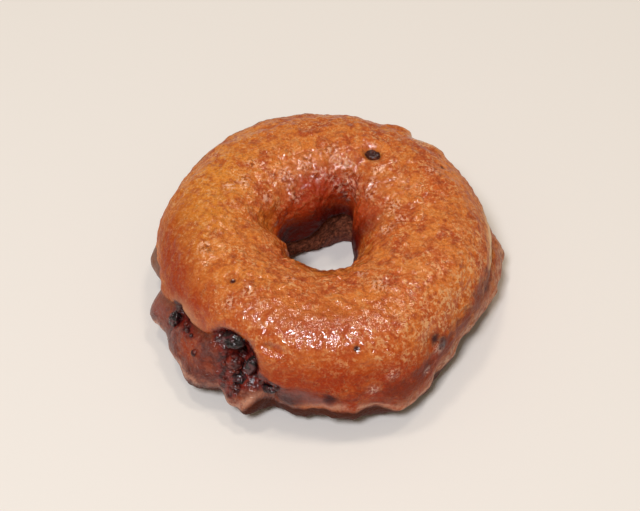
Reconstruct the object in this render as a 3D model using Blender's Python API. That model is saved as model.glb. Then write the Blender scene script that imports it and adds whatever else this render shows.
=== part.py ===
"""A glazed blueberry cake doughnut: one fried ring, torn at its lower edge, with the berries that show.

An azimuth is counted round the hole, counter-clockwise from above: 0 is +X and 270 is the side with the
tear. A tube angle is counted round the ring's section: 0 is its outer side, 90 its top, 180 the hole and
270 its underside. Both are in degrees. Sizes are in millimetres until the points are made.
"""

import bmesh
import bpy
import numpy as np
from mathutils import Matrix, Vector, noise

MM = 0.001
GAP = 0.3  # free space round each berry, so that it is a solid of its own

# The fried ring
CREST_RADIUS = 25.5  # from the middle of the hole to the middle of the ring's section
AXIS_HEIGHT = 14.4  # of the middle of the section above the table
RISE = 15.0  # from there to the top of the dome
DROP = 15.6  # from there down, before the table flattens the foot
DOME_SQUARENESS = 2.3  # exponent of the section's curve, where 2 is an ellipse
FOOT_SQUARENESS = 2.6
HOLE_FOOT_SQUARENESS = 5.0
RING_SHIFT = (-0.3, -0.3)  # sets the ring so that its outline is centred on the origin

# Each outline is a base value with smooth swells: azimuth, half-width in degrees, amount
DOME_RADIUS = 39.3
DOME_SWELLS = (
    (8, 16, 0.8),
    (112, 42, 2.9),
    (116, 8, 0.5),
    (150, 16, -0.6),
    (172, 12, 0.6),
    (234, 20, -1.7),
    (296, 13, 1.3),
    (327, 15, -1.5),
)
HOLE_RADIUS = 7.6
HOLE_SWELLS = (
    (18, 26, -1.1),
    (68, 9, 1.4),
    (72, 20, 5.6),
    (95, 30, 1.8),
    (145, 32, 4.8),
    (170, 12, 0.8),
    (206, 18, 2.0),
)
RISE_SWELLS = ((110, 40, -0.5), (255, 45, -0.4), (330, 40, 0.3))

# The skirt is the rim of lobes below the dome's edge
SKIRT_RADIUS = 39.6
SKIRT_LOBES = (
    (9, 8, 4.2),
    (20.5, 6, 3.7),
    (29, 3.5, -0.7),
    (60, 14, 1.0),
    (105, 24, 1.6),
    (150, 16, 0.6),
    (173, 9, 3.0),
    (185.5, 2.6, -2.4),
    (195.5, 6, 5.0),
    (211, 9, 3.5),
    (224, 8, 4.4),
    (233.5, 2.6, -0.6),
    (238, 4, 2.6),
    (244, 4, 3.2),
    (251, 3, -2.2),
    (260, 6, -0.8),
    (278, 5, 1.8),
    (296, 10, 2.0),
    (311, 4, -0.9),
    (326, 9, -1.9),
    (340, 7, -0.8),
    (356, 9, 2.8),
)
SKIRT_TUBE = -24.0
SKIRT_SPREAD_ABOVE = 21.0
SKIRT_SPREAD_BELOW = 16.0

# The cleft is the line where the dome's edge meets the skirt
CLEFT_TUBE = -6.0
CLEFT_TUBE_SWELLS = (
    (6, 22, 22),
    (50, 16, 44),
    (150, 30, 6),
    (211, 11, 22),
    (231.5, 10.5, 42),
    (262, 10, 13),
)
CLEFT_DEPTH = 0.6
CLEFT_DEPTH_SWELLS = (
    (212, 14, 1.4),
    (238, 9, 2.6),
    (52, 7, 1.2),
    (4, 14, 1.2),
    (100, 20, 0.4),
    (300, 32, -0.6),
)
CLEFT_ABOVE = 4.5  # half-width in degrees above its middle
CLEFT_BELOW = 11.0

# Folds run down the skirt, from a little below the cleft to the foot
FOLD_SPACING = 5.5
FOLD_HEIGHT = 0.9
FOLD_START = 4.0  # degrees below the cleft
FOLD_START_BLEND = 14.0
FOLD_END_TUBE = -62.0
FOLD_END_BLEND = 20.0
FOLD_STRETCH = 0.1  # change down the skirt, in millimetres of the waves for each degree

# The wall of the hole is crumb, set back under the edge of the crust
OVERHANG_TUBE = 192.0
OVERHANG_SWELLS = ((88, 19, -12), (128, 16, 6), (270, 60, 6))
SET_BACK = 1.1
SET_BACK_SWELLS = ((85, 30, 0.5),)
WALL_TOP_BLEND = 7.0  # degrees over which the edge steps back
WALL_SPAN = 35.0  # degrees down to where the wall comes forward again
WALL_END_BLEND = 30.0

# Hollows and bumps: azimuth, tube angle, half-size round the ring, half-size round the section, height
SPOT_SHARPNESS = 3.0  # 2 fades out softly, more has a clearer edge
SPOTS = (
    (239, 16, 4.2, 5.6, -3.2),
    (233.5, 36, 4.2, 2.4, -1.6),
    (226, 12, 2.8, 5.0, 1.0),
    (208, 13, 2.0, 3.6, -1.3),
    (217, 6, 2.6, 3.0, 0.8),
    (228, 2, 1.6, 1.6, -0.7),
    (62, 97, 2.6, 1.9, -1.1),
    (219, 83, 1.6, 1.6, -0.8),
    (309, 30, 2.6, 3.2, -0.8),
    (305, 8, 3.0, 2.4, -0.7),
    (276, 6, 3.4, 2.2, 0.8),
    (167, 150, 3.0, 6.0, -1.6),
    (60, 44, 3.4, 2.4, 0.8),
    (53, 40, 1.8, 3.2, -1.0),
    (43, 46, 3.0, 2.2, 0.6),
    (329, 24, 2.6, 2.6, 0.7),
    (343, 18, 3.4, 3.4, -0.6),
    (192, 142, 4.0, 6.0, 1.0),
    (35, 180, 2.2, 9.0, -0.8),
    (255, 52, 4.0, 2.0, 0.5),
    (250.5, 47, 3.4, 1.2, -0.7),
    (248.5, 37, 3.4, 3.0, 0.7),
)

# Waves of the crust: wavelength, height
LUMPS = ((26.0, 0.9), (9.0, 0.42), (4.6, 0.2))
LUMP_SEED = (3.1, 7.7, 1.3)

# Berries: name, azimuth, tube angle, length, width, depth, turn on the crust, middle below the crust
BERRIES = (
    ("blueberry_upper", 234.0, 37.0, 6.6, 4.4, 4.4, 20.0, 0.6),
    ("blueberry_red", 235.8, 9.5, 4.2, 4.2, 4.0, 0.0, 0.5),
    ("blueberry_lower", 239.0, -9.5, 4.4, 4.0, 4.0, 0.0, -0.3),
    ("blueberry_crevice", 243.0, 19.0, 6.4, 2.8, 3.2, 75.0, 0.5),
    ("blueberry_left", 206.5, 0.0, 6.4, 3.0, 3.4, 80.0, -0.2),
    ("blueberry_front", 250.5, -2.5, 3.8, 2.4, 2.6, 10.0, -0.1),
    ("blueberry_top", 62.0, 97.0, 3.8, 2.5, 2.4, 0.0, 1.0),
)
BERRY_SEGMENTS = 14
BERRY_RINGS = 8
CALYX_DEPTH = 0.16  # of the dimple at a berry's end, as a part of its half-depth
CALYX_POINTS = 5
CALYX_WIDTH = 0.45  # of the star, as a part of the berry's half-width
CALYX_POINT_LENGTH = 0.12

# The crust's mesh
ROWS_ROUND_HOLE = 132
ROWS_ROUND_SECTION = 40
ROW_CROWDING = 14.0  # how far, in degrees, the rows lean towards the skirt


def turn_to(angle, target):
    """The turn from target to angle, from -180 to 180 degrees."""
    return (angle - target + 180.0) % 360.0 - 180.0


def outline(azimuth, base, swells):
    """A base value with its swells, for each azimuth."""
    total = np.full_like(azimuth, base)
    for middle, width, amount in swells:
        total += amount * np.exp(-((turn_to(azimuth, middle) / width) ** 2))
    return total


def smooth_step(x):
    """0 below 0, 1 above 1 and an even bend between."""
    x = np.clip(x, 0.0, 1.0)
    return x * x * (3.0 - 2.0 * x)


def cleft_tube(azimuth):
    return outline(azimuth, CLEFT_TUBE, CLEFT_TUBE_SWELLS)


def plain_section(azimuth, tube):
    """The distance from the middle of the section to the crust, before the skirt and the cleft."""
    along = np.cos(np.radians(tube))
    up = np.sin(np.radians(tube))
    dome_reach = outline(azimuth, DOME_RADIUS, DOME_SWELLS) - CREST_RADIUS
    hole_reach = CREST_RADIUS - outline(azimuth, HOLE_RADIUS, HOLE_SWELLS)
    width = np.where(along > 0, dome_reach, hole_reach)
    height = np.where(up > 0, outline(azimuth, RISE, RISE_SWELLS), DROP)
    foot = np.where(along > 0, FOOT_SQUARENESS, HOLE_FOOT_SQUARENESS)
    power = np.where(up > 0, DOME_SQUARENESS, foot)
    return ((np.abs(along) / width) ** power + (np.abs(up) / height) ** power) ** (-1.0 / power)


def edge_relief(azimuth, tube):
    """The skirt's reach past the dome, less the cleft above it and the set-back wall of the hole."""
    reach = outline(azimuth, SKIRT_RADIUS, SKIRT_LOBES) - outline(azimuth, DOME_RADIUS, DOME_SWELLS)
    off_skirt = turn_to(tube, SKIRT_TUBE)
    skirt_spread = np.where(off_skirt > 0, SKIRT_SPREAD_ABOVE, SKIRT_SPREAD_BELOW)
    skirt = reach * np.exp(-((off_skirt / skirt_spread) ** 2))
    off_cleft = turn_to(tube, cleft_tube(azimuth))
    cleft_width = np.where(off_cleft > 0, CLEFT_ABOVE, CLEFT_BELOW)
    cleft = outline(azimuth, CLEFT_DEPTH, CLEFT_DEPTH_SWELLS) * np.exp(-((off_cleft / cleft_width) ** 2))
    below_edge = turn_to(tube, outline(azimuth, OVERHANG_TUBE, OVERHANG_SWELLS))
    wall_top = smooth_step(below_edge / WALL_TOP_BLEND)
    wall = wall_top * (1.0 - smooth_step((below_edge - WALL_SPAN) / WALL_END_BLEND))
    return skirt - cleft - wall * outline(azimuth, SET_BACK, SET_BACK_SWELLS)


def fold_relief(azimuth, tube):
    """Folds of the skirt, where the batter ran and set before the dome rose over it."""
    below_cleft = smooth_step((cleft_tube(azimuth) - FOLD_START - tube) / FOLD_START_BLEND)
    above_foot = smooth_step((tube - FOLD_END_TUBE) / FOLD_END_BLEND)
    turn = np.radians(azimuth)
    round_rim = (SKIRT_RADIUS * np.cos(turn), SKIRT_RADIUS * np.sin(turn), FOLD_STRETCH * tube)
    return FOLD_HEIGHT * below_cleft * above_foot * waves(np.stack(round_rim, axis=-1), FOLD_SPACING)


def spot_relief(azimuth, tube, radius):
    """The hollows and bumps, each an oval that fades out evenly."""
    total = np.zeros_like(azimuth)
    ring = CREST_RADIUS + radius * np.cos(np.radians(tube))
    for middle, level, length, width, height in SPOTS:
        round_ring = np.radians(turn_to(azimuth, middle)) * ring / length
        round_tube = np.radians(turn_to(tube, level)) * radius / width
        total += height * np.exp(-(np.hypot(round_ring, round_tube) ** SPOT_SHARPNESS))
    return total


def place(azimuth, tube, radius):
    """Points in millimetres from azimuth, tube angle and distance from the middle of the section."""
    ring = CREST_RADIUS + radius * np.cos(np.radians(tube))
    return np.stack(
        [
            ring * np.cos(np.radians(azimuth)) + RING_SHIFT[0],
            ring * np.sin(np.radians(azimuth)) + RING_SHIFT[1],
            AXIS_HEIGHT + radius * np.sin(np.radians(tube)),
        ],
        axis=-1,
    )


def waves(points, wavelength):
    """Smooth noise from -1 to 1 at each point."""
    seed = Vector(LUMP_SEED)
    found = [noise.noise(Vector(point) / wavelength + seed) for point in points.reshape(-1, 3)]
    return np.array(found).reshape(points.shape[:-1])


def lump_relief(points):
    """Uneven waves of the fried crust."""
    return sum(height * waves(points, wavelength) for wavelength, height in LUMPS)


def crust_points(azimuth, tube):
    """Points on the crust in millimetres. The table flattens the foot."""
    plain = plain_section(azimuth, tube)
    radius = plain + edge_relief(azimuth, tube) + spot_relief(azimuth, tube, plain)
    radius += lump_relief(place(azimuth, tube, plain)) + fold_relief(azimuth, turn_to(tube, 0.0))
    points = place(azimuth, tube, radius)
    points[..., 2] = np.maximum(points[..., 2], 0.0)
    return points


def crust_rows():
    """The azimuth and tube angle of each corner of the crust's mesh. One row runs along the cleft."""
    azimuths = np.arange(ROWS_ROUND_HOLE) * 360.0 / ROWS_ROUND_HOLE
    turns = np.arange(ROWS_ROUND_SECTION) * 360.0 / ROWS_ROUND_SECTION
    azimuth, turn = np.meshgrid(azimuths, turns, indexing="ij")
    near_cleft = 0.5 + 0.5 * np.cos(np.radians(turn))
    crowded = turn - ROW_CROWDING * np.sin(np.radians(turn))
    return azimuth, crowded + cleft_tube(azimuth) * near_cleft


def material(name, colour, roughness):
    made = bpy.data.materials.new(name)
    made.use_nodes = True
    shader = made.node_tree.nodes["Principled BSDF"]
    shader.inputs["Base Color"].default_value = (*colour, 1.0)
    shader.inputs["Roughness"].default_value = roughness
    shader.inputs["Metallic"].default_value = 0.0
    return made


def add_object(name, mesh, finish):
    mesh.materials.append(finish)
    made = bpy.data.objects.new(name, mesh)
    bpy.context.scene.collection.objects.link(made)
    return made


def add_crust(finish):
    """The ring's crust, as one closed grid."""
    points = crust_points(*crust_rows()) * MM
    across, around = ROWS_ROUND_HOLE, ROWS_ROUND_SECTION
    faces = []
    for i in range(across):
        for j in range(around):
            i_next = (i + 1) % across
            j_next = (j + 1) % around
            faces.append(
                (i * around + j, i_next * around + j, i_next * around + j_next, i * around + j_next)
            )
    mesh = bpy.data.meshes.new("doughnut")
    mesh.from_pydata(points.reshape(-1, 3).tolist(), [], faces)
    mesh.shade_smooth()
    return add_object("doughnut", mesh, finish)


def berry_frame(azimuth, tube, turn, sunk):
    """A berry's place on the crust: Z points out of the crust and X along the berry."""
    angles = np.array([azimuth, azimuth + 1.0, azimuth]), np.array([tube, tube, tube + 1.0])
    here, beside, above = (Vector(point) for point in place(*angles, plain_section(*angles)))
    out = (beside - here).cross(above - here).normalized()
    along = (beside - here).normalized()
    along.rotate(Matrix.Rotation(np.radians(turn), 3, out))
    side = out.cross(along)
    frame = Matrix((along, side, out)).transposed().to_4x4()
    frame.translation = (here - out * sunk) * MM
    return frame


def berry_mesh(name, sizes, calyx_depth):
    """An oval berry with a star-shaped dimple at its end."""
    shape = bmesh.new()
    bmesh.ops.create_uvsphere(shape, u_segments=BERRY_SEGMENTS, v_segments=BERRY_RINGS, radius=0.5)
    for vertex in shape.verts:
        turn = np.arctan2(vertex.co.y, vertex.co.x)
        from_end = np.hypot(vertex.co.x, vertex.co.y) / 0.5
        star = CALYX_WIDTH + CALYX_POINT_LENGTH * np.cos(CALYX_POINTS * turn)
        if vertex.co.z > 0 and from_end < star:
            vertex.co.z -= 0.5 * calyx_depth * (1.0 - from_end / star)
        vertex.co = Vector([part * size * MM for part, size in zip(vertex.co, sizes)])
    mesh = bpy.data.meshes.new(name)
    shape.to_mesh(mesh)
    shape.free()
    mesh.shade_smooth()
    return mesh


def add_berry(name, azimuth, tube, sizes, turn, sunk, finish):
    berry = add_object(name, berry_mesh(name, sizes, CALYX_DEPTH), finish)
    berry.matrix_world = berry_frame(azimuth, tube, turn, sunk)
    return berry


def cut_seat(crust, berry, sizes, finish):
    """Cuts the crumb back round a berry, by the gap on every side."""
    roomy = [size + 2.0 * GAP for size in sizes]
    cutter = add_object("seat_of_" + berry.name, berry_mesh("seat", roomy, 0.0), finish)
    cutter.matrix_world = berry.matrix_world
    cutter.hide_render = True
    cutter.display_type = "WIRE"
    cut = crust.modifiers.new("seat_of_" + berry.name, "BOOLEAN")
    cut.operation = "DIFFERENCE"
    cut.solver = "EXACT"
    cut.object = cutter


def main():
    for thing in list(bpy.data.objects):
        bpy.data.objects.remove(thing, do_unlink=True)
    crumb = material("fried_crust", (0.50, 0.17, 0.045), 0.35)
    skin = material("blueberry_skin", (0.045, 0.016, 0.028), 0.25)
    crust = add_crust(crumb)
    for name, azimuth, tube, length, width, depth, turn, sunk in BERRIES:
        sizes = (length, width, depth)
        berry = add_berry(name, azimuth, tube, sizes, turn, sunk, skin)
        cut_seat(crust, berry, sizes, skin)


main()
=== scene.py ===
"""The looks of a glazed blueberry cake doughnut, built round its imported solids.

An azimuth is counted round the hole, counter-clockwise from above: 0 is +X and 270 is the side with the
tear. A tube angle is counted round the ring's section: 0 is its outer side, 90 its top, 180 the hole and
270 its underside. Both are in degrees. Sizes are in millimetres until the points are made.
"""

import bmesh
import bpy
import numpy as np
from mathutils import Matrix, Vector, noise


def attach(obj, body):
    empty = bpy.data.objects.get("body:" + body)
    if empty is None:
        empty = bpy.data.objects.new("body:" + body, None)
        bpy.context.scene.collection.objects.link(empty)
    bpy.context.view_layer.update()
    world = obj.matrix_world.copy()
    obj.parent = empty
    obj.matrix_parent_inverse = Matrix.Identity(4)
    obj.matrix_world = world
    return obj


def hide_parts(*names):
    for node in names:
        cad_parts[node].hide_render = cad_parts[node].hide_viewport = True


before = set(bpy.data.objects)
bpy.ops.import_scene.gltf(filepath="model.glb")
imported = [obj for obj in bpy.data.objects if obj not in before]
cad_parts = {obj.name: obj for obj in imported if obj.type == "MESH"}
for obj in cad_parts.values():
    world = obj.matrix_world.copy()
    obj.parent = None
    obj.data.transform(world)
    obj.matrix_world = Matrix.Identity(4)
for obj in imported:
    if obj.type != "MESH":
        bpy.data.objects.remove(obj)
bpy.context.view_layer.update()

MM = 0.001

# The fried ring, as the solids have it
CREST_RADIUS = 25.5
AXIS_HEIGHT = 14.4
RISE = 15.0
DROP = 15.6
DOME_SQUARENESS = 2.3
FOOT_SQUARENESS = 2.6
HOLE_FOOT_SQUARENESS = 5.0
RING_SHIFT = (-0.3, -0.3)

# Each outline is a base value with smooth swells: azimuth, half-width in degrees, amount
DOME_RADIUS = 39.3
DOME_SWELLS = (
    (8, 16, 0.8),
    (112, 42, 2.9),
    (116, 8, 0.5),
    (150, 16, -0.6),
    (172, 12, 0.6),
    (234, 20, -1.7),
    (296, 13, 1.3),
    (327, 15, -1.5),
)
HOLE_RADIUS = 7.6
HOLE_SWELLS = (
    (18, 26, -1.1),
    (68, 9, 1.4),
    (72, 20, 5.6),
    (95, 30, 1.8),
    (145, 32, 4.8),
    (170, 12, 0.8),
    (206, 18, 2.0),
)
RISE_SWELLS = ((110, 40, -0.5), (255, 45, -0.4), (330, 40, 0.3))

# The skirt is the rim of lobes below the dome's edge
SKIRT_RADIUS = 39.6
SKIRT_LOBES = (
    (9, 8, 4.2),
    (20.5, 6, 3.7),
    (29, 3.5, -0.7),
    (60, 14, 1.0),
    (105, 24, 1.6),
    (150, 16, 0.6),
    (173, 9, 3.0),
    (185.5, 2.6, -2.4),
    (195.5, 6, 5.0),
    (211, 9, 3.5),
    (224, 8, 4.4),
    (233.5, 2.6, -0.6),
    (238, 4, 2.6),
    (244, 4, 3.2),
    (251, 3, -2.2),
    (260, 6, -0.8),
    (278, 5, 1.8),
    (296, 10, 2.0),
    (311, 4, -0.9),
    (326, 9, -1.9),
    (340, 7, -0.8),
    (356, 9, 2.8),
)
SKIRT_TUBE = -24.0
SKIRT_SPREAD_ABOVE = 21.0
SKIRT_SPREAD_BELOW = 16.0

# The cleft is the line where the dome's edge meets the skirt
CLEFT_TUBE = -6.0
CLEFT_TUBE_SWELLS = (
    (6, 22, 22),
    (50, 16, 44),
    (150, 30, 6),
    (211, 11, 22),
    (231.5, 10.5, 42),
    (262, 10, 13),
)
CLEFT_DEPTH = 0.6
CLEFT_DEPTH_SWELLS = (
    (212, 14, 1.4),
    (238, 9, 2.6),
    (52, 7, 1.2),
    (4, 14, 1.2),
    (100, 20, 0.4),
    (300, 32, -0.6),
)
CLEFT_ABOVE = 4.5
CLEFT_BELOW = 11.0

# Folds run down the skirt: spacing and height
FOLD_SPACING = 5.5
FOLD_HEIGHT = 0.9
FOLD_START = 4.0
FOLD_START_BLEND = 14.0
FOLD_END_TUBE = -62.0
FOLD_END_BLEND = 20.0
FOLD_STRETCH = 0.1

# The wall of the hole is crumb, set back under the edge of the crust
OVERHANG_TUBE = 192.0
OVERHANG_SWELLS = ((88, 19, -12), (128, 16, 6), (270, 60, 6))
SET_BACK = 1.1
SET_BACK_SWELLS = ((85, 30, 0.5),)
WALL_TOP_BLEND = 7.0
WALL_SPAN = 35.0
WALL_END_BLEND = 30.0

# Hollows and bumps: azimuth, tube angle, half-size round the ring, half-size round the section, height
SPOT_SHARPNESS = 3.0
SPOTS = (
    (239, 16, 4.2, 5.6, -3.2),
    (233.5, 36, 4.2, 2.4, -1.6),
    (226, 12, 2.8, 5.0, 1.0),
    (208, 13, 2.0, 3.6, -1.3),
    (217, 6, 2.6, 3.0, 0.8),
    (228, 2, 1.6, 1.6, -0.7),
    (62, 97, 2.6, 1.9, -1.1),
    (219, 83, 1.6, 1.6, -0.8),
    (309, 30, 2.6, 3.2, -0.8),
    (305, 8, 3.0, 2.4, -0.7),
    (276, 6, 3.4, 2.2, 0.8),
    (167, 150, 3.0, 6.0, -1.6),
    (60, 44, 3.4, 2.4, 0.8),
    (53, 40, 1.8, 3.2, -1.0),
    (43, 46, 3.0, 2.2, 0.6),
    (329, 24, 2.6, 2.6, 0.7),
    (343, 18, 3.4, 3.4, -0.6),
    (192, 142, 4.0, 6.0, 1.0),
    (35, 180, 2.2, 9.0, -0.8),
    (255, 52, 4.0, 2.0, 0.5),
    (250.5, 47, 3.4, 1.2, -0.7),
    (248.5, 37, 3.4, 3.0, 0.7),
)

# Waves of the crust: wavelength, height
LUMPS = ((26.0, 0.9), (9.0, 0.42), (4.6, 0.2))
LUMP_SEED = (3.1, 7.7, 1.3)

# Berries: name, azimuth, tube angle, length, width, depth, turn on the crust, middle below the crust
BERRIES = (
    ("blueberry_upper", 234.0, 37.0, 6.6, 4.4, 4.4, 20.0, 0.6),
    ("blueberry_red", 235.8, 9.5, 4.2, 4.2, 4.0, 0.0, 0.5),
    ("blueberry_lower", 239.0, -9.5, 4.4, 4.0, 4.0, 0.0, -0.3),
    ("blueberry_crevice", 243.0, 19.0, 6.4, 2.8, 3.2, 75.0, 0.5),
    ("blueberry_left", 206.5, 0.0, 6.4, 3.0, 3.4, 80.0, -0.2),
    ("blueberry_front", 250.5, -2.5, 3.8, 2.4, 2.6, 10.0, -0.1),
    ("blueberry_top", 62.0, 97.0, 3.8, 2.5, 2.4, 0.0, 1.0),
)
CALYX_POINTS = 5
CALYX_WIDTH = 0.45
CALYX_POINT_LENGTH = 0.12

# The fine crust's mesh
ROWS_ROUND_HOLE = 420
ROWS_ROUND_SECTION = 228
DENSEST_TUBE = 110.0
ROW_CROWDING = 20.0

# The camera: it looks down along +Y
CAMERA_SLOPE = 52.0
CAMERA_DISTANCE = 420.0
CAMERA_AIM = (-1.8, 12.2, 0.0)
CAMERA_LENS = 94.5
SENSOR_WIDTH = 36.0


def turn_to(angle, target):
    """The turn from target to angle, from -180 to 180 degrees."""
    return (angle - target + 180.0) % 360.0 - 180.0


def outline(azimuth, base, swells):
    """A base value with its swells, for each azimuth."""
    total = np.full_like(azimuth, base)
    for middle, width, amount in swells:
        total += amount * np.exp(-((turn_to(azimuth, middle) / width) ** 2))
    return total


def smooth_step(x):
    """0 below 0, 1 above 1 and an even bend between."""
    x = np.clip(x, 0.0, 1.0)
    return x * x * (3.0 - 2.0 * x)


def cleft_tube(azimuth):
    return outline(azimuth, CLEFT_TUBE, CLEFT_TUBE_SWELLS)


def plain_section(azimuth, tube):
    """The distance from the middle of the section to the crust, before the skirt and the cleft."""
    along = np.cos(np.radians(tube))
    up = np.sin(np.radians(tube))
    dome_reach = outline(azimuth, DOME_RADIUS, DOME_SWELLS) - CREST_RADIUS
    hole_reach = CREST_RADIUS - outline(azimuth, HOLE_RADIUS, HOLE_SWELLS)
    width = np.where(along > 0, dome_reach, hole_reach)
    height = np.where(up > 0, outline(azimuth, RISE, RISE_SWELLS), DROP)
    foot = np.where(along > 0, FOOT_SQUARENESS, HOLE_FOOT_SQUARENESS)
    power = np.where(up > 0, DOME_SQUARENESS, foot)
    return ((np.abs(along) / width) ** power + (np.abs(up) / height) ** power) ** (-1.0 / power)


def wall_share(azimuth, tube):
    """1 on the crumb wall of the hole, 0 on the crust."""
    below_edge = turn_to(tube, outline(azimuth, OVERHANG_TUBE, OVERHANG_SWELLS))
    wall_top = smooth_step(below_edge / WALL_TOP_BLEND)
    return wall_top * (1.0 - smooth_step((below_edge - WALL_SPAN) / WALL_END_BLEND))


def cleft_share(azimuth, tube):
    """1 along the cleft, fading out above and below it."""
    off_cleft = turn_to(tube, cleft_tube(azimuth))
    cleft_width = np.where(off_cleft > 0, CLEFT_ABOVE, CLEFT_BELOW)
    return np.exp(-((off_cleft / cleft_width) ** 2))


def edge_relief(azimuth, tube):
    """The skirt's reach past the dome, less the cleft above it and the set-back wall of the hole."""
    reach = outline(azimuth, SKIRT_RADIUS, SKIRT_LOBES) - outline(azimuth, DOME_RADIUS, DOME_SWELLS)
    off_skirt = turn_to(tube, SKIRT_TUBE)
    skirt_spread = np.where(off_skirt > 0, SKIRT_SPREAD_ABOVE, SKIRT_SPREAD_BELOW)
    skirt = reach * np.exp(-((off_skirt / skirt_spread) ** 2))
    cleft = outline(azimuth, CLEFT_DEPTH, CLEFT_DEPTH_SWELLS) * cleft_share(azimuth, tube)
    return skirt - cleft - wall_share(azimuth, tube) * outline(azimuth, SET_BACK, SET_BACK_SWELLS)


def round_ring(azimuth, radius, level):
    """Points on a cylinder round the hole, for noise whose forms run down the section."""
    turn = np.radians(azimuth)
    return np.stack((radius * np.cos(turn), radius * np.sin(turn), level), axis=-1)


def fold_relief(azimuth, tube):
    """Folds of the skirt, where the batter ran and set before the dome rose over it."""
    below_cleft = smooth_step((cleft_tube(azimuth) - FOLD_START - tube) / FOLD_START_BLEND)
    above_foot = smooth_step((tube - FOLD_END_TUBE) / FOLD_END_BLEND)
    round_rim = round_ring(azimuth, SKIRT_RADIUS, FOLD_STRETCH * tube)
    return FOLD_HEIGHT * below_cleft * above_foot * waves(round_rim, FOLD_SPACING)


def oval_distance(azimuth, tube, radius, middle, level, length, width):
    """The distance to a spot's middle, as a share of its half-size."""
    ring = CREST_RADIUS + radius * np.cos(np.radians(tube))
    round_ring = np.radians(turn_to(azimuth, middle)) * ring / length
    round_tube = np.radians(turn_to(tube, level)) * radius / width
    return np.hypot(round_ring, round_tube)


def spot_relief(azimuth, tube, radius):
    """The hollows and bumps, each an oval that fades out evenly."""
    total = np.zeros_like(azimuth)
    for middle, level, length, width, height in SPOTS:
        off = oval_distance(azimuth, tube, radius, middle, level, length, width)
        total += height * np.exp(-(off**SPOT_SHARPNESS))
    return total


def place(azimuth, tube, radius):
    """Points in millimetres from azimuth, tube angle and distance from the middle of the section."""
    ring = CREST_RADIUS + radius * np.cos(np.radians(tube))
    return np.stack(
        [
            ring * np.cos(np.radians(azimuth)) + RING_SHIFT[0],
            ring * np.sin(np.radians(azimuth)) + RING_SHIFT[1],
            AXIS_HEIGHT + radius * np.sin(np.radians(tube)),
        ],
        axis=-1,
    )


def waves(points, wavelength, seed=LUMP_SEED):
    """Smooth noise from -1 to 1 at each point."""
    shift = Vector(seed)
    found = [noise.noise(Vector(point) / wavelength + shift) for point in points.reshape(-1, 3)]
    return np.array(found).reshape(points.shape[:-1])


def lump_relief(points):
    """Uneven waves of the fried crust."""
    return sum(height * waves(points, wavelength) for wavelength, height in LUMPS)


def crust_radius(azimuth, tube):
    """The crust that the solid has."""
    plain = plain_section(azimuth, tube)
    radius = plain + edge_relief(azimuth, tube) + spot_relief(azimuth, tube, plain)
    return radius + lump_relief(place(azimuth, tube, plain)) + fold_relief(azimuth, turn_to(tube, 0.0))


# Relief and colour that are too fine for the solid

# Waves that make the borders of the colours wander
WANDER_SPACING = 11.0
WANDER_SEED = (8.0, 8.0, 3.0)
GOLD_WANDER = 0.25
RUST_WANDER = 0.2

# Places on the crust, in degrees: azimuth, tube angle, half-width round the hole and round the section
CALM_PLACE = (262, 52, 34, 30)
INNER_BACK_PLACE = (90, 128, 62, 30)
GOLD_PLACE = (165, 66, 48, 42)
INNER_SHINE_PLACE = (84, 132, 50, 26)
SUGARED_PLACE = (322, 44, 36, 30)

# Rust-red places, in the same form, with an amount
RUST_PLACES = (
    (200, 38, 30, 26, 1.25),
    (275, 12, 46, 33, 1.3),
    (90, 138, 55, 20, 0.9),
    (265, 74, 36, 20, 0.65),
    (218, -2, 13, 15, 0.9),
)

# Blisters of the fried crust: spacing, and height everywhere, in patches and round the rim of the hole
BLISTER_SPACING = 2.3
BLISTER_SEED = (1.0, 4.0, 2.0)
BLISTER_REACH = 0.62
BLISTER_HEIGHT = 0.14
BLISTER_PATCH_HEIGHT = 0.14
BLISTER_RIM_HEIGHT = 0.45
BLISTER_RIM_TUBE = 120.0
BLISTER_RIM_SPREAD = 30.0
PATCH_SPACING = 6.0
PATCH_CONTRAST = 0.9
PATCH_SEED = (9.0, 2.0, 5.0)
CALMING = 0.6

# Long blisters that run into the back of the hole
STREAK_SPACING = 2.0
STREAK_HEIGHT = 0.7
STREAK_RADIUS = 18.0
STREAK_STRETCH = 0.12
STREAK_SEED = (6.0, 1.0, 4.0)

# Small bubbles in the bubbled patches
BUBBLE_SPACING = 1.5
BUBBLE_HEIGHT = 0.5
BUBBLE_SEED = (3.0, 8.0, 6.0)

# Fine wrinkles that run down the skirt
WRINKLE_SPACING = 2.3
WRINKLE_HEIGHT = 0.5
WRINKLE_START = 2.0
WRINKLE_BLEND = 10.0
WRINKLE_STRETCH = 0.05
WRINKLE_SEED = (4.0, 2.0, 9.0)

# Waves of the skin and of the bare crumb: wavelength, height, seed
SKIN_WAVES = ((2.2, 0.2, (4.0, 1.0, 8.0)), (1.1, 0.08, (2.0, 6.0, 3.0)))
CRUMB_WAVES = ((2.4, 0.6, (5.0, 5.0, 1.0)), (1.2, 0.45, (7.0, 3.0, 2.0)))

# Pinholes: azimuth, tube angle, half-size
PINHOLE_DEPTH = 0.45
PINHOLES = (
    (219, 83, 1.0),
    (281, 52, 0.8),
    (32, 62, 0.8),
    (62, 97, 2.0),
    (300, 100, 0.5),
    (150, 95, 0.5),
)

# The crust is painted redder, then darker, from the rim of the hole inwards, and the glaze ends there
WARM_RED_TUBE = 158.0
WARM_RED_SWELLS = ((88, 46, -50), (20, 28, -26), (142, 24, -16))
WARM_RED_SPAN = 30.0
WARM_RED_WANDER = 14.0
DEEP_RED_TUBE = 160.0
DEEP_RED_SWELLS = ((90, 44, -30), (12, 32, -36), (150, 20, -14))
DEEP_RED_SPAN = 56.0
DEEP_RED_WANDER = 8.0
BARE_TUBE = 140.0
BARE_SPAN = 30.0
UNDERSIDE_TUBE = 300.0
# Painted shadow just below the overhanging edge of the crust inside the hole: its distance below the edge,
# and its width
GAP_BELOW_EDGE = 2.0
GAP_WIDTH = 2.2

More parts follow.
